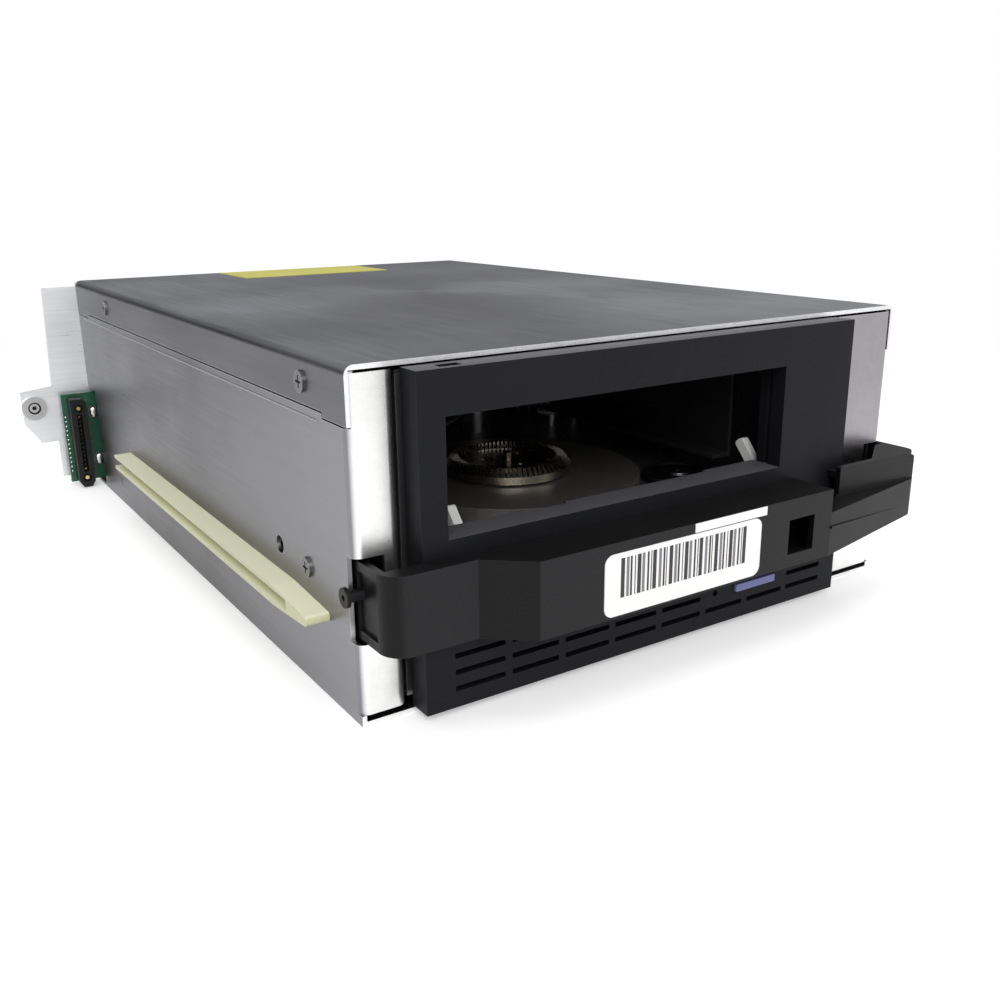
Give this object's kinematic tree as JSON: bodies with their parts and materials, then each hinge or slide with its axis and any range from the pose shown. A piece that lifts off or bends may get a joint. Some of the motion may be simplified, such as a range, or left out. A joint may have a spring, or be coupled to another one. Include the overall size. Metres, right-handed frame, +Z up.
{
  "type": "data tape drive",
  "caption": "Full-height data tape drive in a hot-swap sheet-metal sled with cartridge slot, front adapter shroud, side rails, fastening ear and blind-mate plug.",
  "frame": {"origin": "centre of the sled's flat underside", "axes": "+Z up, +Y from the cartridge slot towards the rear plate, +X to the right seen from the slot"},
  "size_m": [0.2223, 0.3176, 0.0882],
  "materials": {
    "sled_steel": "satin zinc-plated sheet, faint brushing",
    "cover_steel": "grey pre-coated sheet, fine lengthways grain",
    "plate_aluminium": "brushed aluminium",
    "screw_steel": "zinc-plated screws",
    "ferrule_steel": "turned steel",
    "spacer_steel": "plain turned steel",
    "rail_plastic": "cream acetal, slightly waxy",
    "board_green": "green solder mask",
    "chip_black": "moulded chip packages",
    "plug_black": "black connector plastic",
    "contact_gold": "gold-plated contacts",
    "bezel_black": "black textured plastic",
    "shroud_black": "black fine-grained plastic",
    "button_blue": "light blue plastic",
    "display_smoke": "smoked display lens",
    "label_white": null,
    "sticker_yellow": "yellow label stock, blank",
    "casting_grey": "raw die casting",
    "drive_sheet": "zinc-plated sheet",
    "motor_grey": "machined motor flange",
    "motor_can": "drawn motor cans",
    "clutch_grey": "machined toothed ring",
    "clutch_steel": "steel plate",
    "reel_grey": "moulded reel",
    "roller_white": "ground roller",
    "head_ceramic": "polished head",
    "carriage_grey": "machined carriage",
    "gear_white": "white acetal gears",
    "lever_white": "white acetal",
    "arm_black": "black plastic",
    "cable_grey": "grey flat cable",
    "fan_black": "black fan plastic",
    "socket_metal": "plated socket shell",
    "handle_black": "black coated bar"
  },
  "bodies": {
    "root": {"sled_tray": "sled_steel", "top_cover": "cover_steel", "rear_plate": "plate_aluminium", "case_screws": "screw_steel", "screw_ferrule": "ferrule_steel", "spacers": "spacer_steel", "deck_posts": "spacer_steel", "side_pivots": "spacer_steel", "head_guide_posts": "spacer_steel", "side_rail_left": "rail_plastic", "side_rail_right": "rail_plastic", "interface_board": "board_green", "logic_board": "board_green", "controller_board": "board_green", "board_chips": "chip_black", "interface_plug": "plug_black", "ribbon_plugs": "plug_black", "drive_rear_socket": "plug_black", "plug_contacts": "contact_gold", "front_bezel": "bezel_black", "adapter_shroud": "shroud_black", "status_display": "display_smoke", "shroud_labels": "label_white", "cover_sticker": "sticker_yellow", "drive_base": "casting_grey", "drive_lid": "drive_sheet", "drive_floor": "drive_sheet", "cartridge_reel_motor": "motor_grey", "takeup_reel_motor": "motor_grey", "loader_motor": "motor_can", "threader_motor": "motor_can", "head_stepper": "motor_can", "ribbon_cable": "cable_grey", "fan_frame": "fan_black", "host_socket": "socket_metal", "pull_handle": "handle_black"},
    "captive_screw": {"captive_screw": "ferrule_steel"},
    "button": {"eject_button": "button_blue"},
    "clutch": {"reel_clutch": "clutch_grey", "clutch_plate": "clutch_steel"},
    "takeup": {"takeup_reel": "reel_grey", "takeup_reel_flange": "reel_grey"},
    "roller_1": {"guide_roller_1": "roller_white"},
    "roller_2": {"guide_roller_2": "roller_white"},
    "roller_3": {"guide_roller_3": "roller_white"},
    "roller_4": {"guide_roller_4": "roller_white"},
    "head": {"head_carriage": "carriage_grey", "tape_head": "head_ceramic"},
    "head_screw": {"head_lead_screw": "spacer_steel"},
    "loader": {"loader_cam_frame": "drive_sheet"},
    "tray": {"cartridge_tray": "drive_sheet"},
    "loader_wheel": {"loader_gear": "gear_white"},
    "loader_pinion": {"loader_motor_gear": "gear_white"},
    "lever_left": {"cartridge_lever_left": "lever_white"},
    "lever_right": {"cartridge_lever_right": "lever_white"},
    "threader": {"threader_arm": "arm_black", "leader_grabber": "arm_black", "threader_gear": "gear_white"},
    "threader_drive": {"threader_pinion": "gear_white"},
    "fan": {"fan_rotor": "fan_black"}
  },
  "joints": [
    {"name": "captive_screw_turn", "type": "hinge", "parent": "root", "child": "captive_screw", "pos_m": [-0.117, 0.134, 0.0356], "axis": [0, 1, 0], "continuous": true},
    {"name": "eject_button_press", "type": "slide", "parent": "root", "child": "button", "axis": [0, 1, 0], "range_m": [0, 0.0012], "stiffness_N_per_m": 300},
    {"name": "clutch_spin", "type": "hinge", "parent": "root", "child": "clutch", "pos_m": [-0.0155, -0.08, 0.041], "axis": [0, 0, 1], "continuous": true},
    {"name": "takeup_spin", "type": "hinge", "parent": "root", "child": "takeup", "pos_m": [-0.022, 0.019, 0.041], "axis": [0, 0, 1], "continuous": true},
    {"name": "roller_1_spin", "type": "hinge", "parent": "root", "child": "roller_1", "pos_m": [0.0436, -0.022, 0.048], "axis": [0, 0, 1], "continuous": true},
    {"name": "roller_2_spin", "type": "hinge", "parent": "root", "child": "roller_2", "pos_m": [0.0556, -0.021, 0.048], "axis": [0, 0, 1], "continuous": true},
    {"name": "roller_3_spin", "type": "hinge", "parent": "root", "child": "roller_3", "pos_m": [0.055, 0.0175, 0.048], "axis": [0, 0, 1], "continuous": true},
    {"name": "roller_4_spin", "type": "hinge", "parent": "root", "child": "roller_4", "pos_m": [0.0405, 0.028, 0.048], "axis": [0, 0, 1], "continuous": true},
    {"name": "head_index", "type": "slide", "parent": "root", "child": "head", "axis": [0, 0, 1], "range_m": [-0.0025, 0.0025]},
    {"name": "head_screw_turn", "type": "hinge", "parent": "root", "child": "head_screw", "pos_m": [0.05325, -0.001, 0.04], "axis": [0, 0, 1], "range_deg": [-450, 450]},
    {"name": "loader_slide", "type": "slide", "parent": "root", "child": "loader", "axis": [0, 1, 0], "range_m": [0, 0.015]},
    {"name": "tray_lower", "type": "slide", "parent": "root", "child": "tray", "axis": [0, 0, 1], "range_m": [-0.003, 0]},
    {"name": "loader_gear_turn", "type": "hinge", "parent": "root", "child": "loader_wheel", "pos_m": [-0.072, -0.074, 0.04745], "axis": [1, 0, 0], "range_deg": [-85.94, 0]},
    {"name": "loader_pinion_turn", "type": "hinge", "parent": "root", "child": "loader_pinion", "pos_m": [-0.072, -0.058, 0.04745], "axis": [1, 0, 0], "range_deg": [0, 143.24]},
    {"name": "lever_left_flex", "type": "hinge", "parent": "root", "child": "lever_left", "pos_m": [-0.0601, -0.1248, 0.0398], "axis": [1, 0, 0], "range_deg": [-28, 0], "stiffness_Nm_per_rad": 0.02},
    {"name": "lever_right_flex", "type": "hinge", "parent": "root", "child": "lever_right", "pos_m": [0.0407, -0.1294, 0.0442], "axis": [1, 0, 0], "range_deg": [-28, 0], "stiffness_Nm_per_rad": 0.02},
    {"name": "threader_swing", "type": "hinge", "parent": "root", "child": "threader", "pos_m": [0.02498, 0.00508, 0.064], "axis": [0, 0, 1], "range_deg": [0, 195]},
    {"name": "threader_pinion_turn", "type": "hinge", "parent": "root", "child": "threader_drive", "pos_m": [0.01448, -0.0131, 0.062], "axis": [0, 0, 1], "range_deg": [-487.5, 0]},
    {"name": "fan_spin", "type": "hinge", "parent": "root", "child": "fan", "pos_m": [0.028, 0.124, 0.044], "axis": [0, 1, 0], "continuous": true}
  ],
  "couplings": [
    {"joint": "head_screw_turn", "follows": "head_index", "rad_per_m": 3141.6},
    {"joint": "tray_lower", "follows": "loader_slide", "ratio": -0.2},
    {"joint": "loader_gear_turn", "follows": "loader_slide", "rad_per_m": -100},
    {"joint": "loader_pinion_turn", "follows": "loader_slide", "rad_per_m": 166.67},
    {"joint": "threader_pinion_turn", "follows": "threader_swing", "ratio": -2.5}
  ]
}
